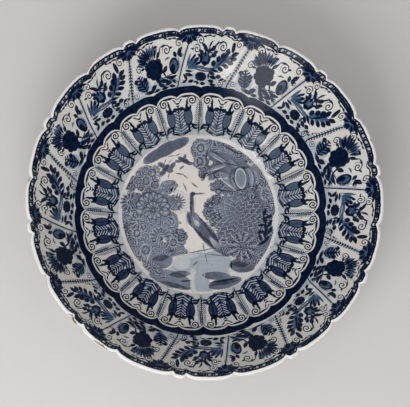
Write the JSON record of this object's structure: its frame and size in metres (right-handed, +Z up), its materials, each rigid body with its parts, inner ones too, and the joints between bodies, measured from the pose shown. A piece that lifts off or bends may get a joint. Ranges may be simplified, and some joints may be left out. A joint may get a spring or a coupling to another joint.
{
  "type": "round dish",
  "caption": "Deep round tin-glazed earthenware dish with a lobed edge, painted in blue on white with a bird in a garden, on a low foot ring.",
  "frame": {"origin": "middle of the foot's standing plane, at the bottom centre of the dish", "axes": "+Z up through the open face of the dish, +X to the picture's right and +Y to the picture's top when the bird stands upright"},
  "size_m": [0.3506, 0.3542, 0.076],
  "materials": {
    "clay": "fired buff earthenware, matt and slightly porous",
    "painted_glaze": "glossy warm white tin glaze painted all over in cobalt blue",
    "plain_glaze": "glossy warm white tin glaze with pinholes"
  },
  "bodies": {
    "root": {"moulded_dish": "clay", "foot_ring": "clay", "face_glaze": "painted_glaze", "back_glaze": "plain_glaze", "base_glaze": "plain_glaze"}
  },
  "joints": []
}
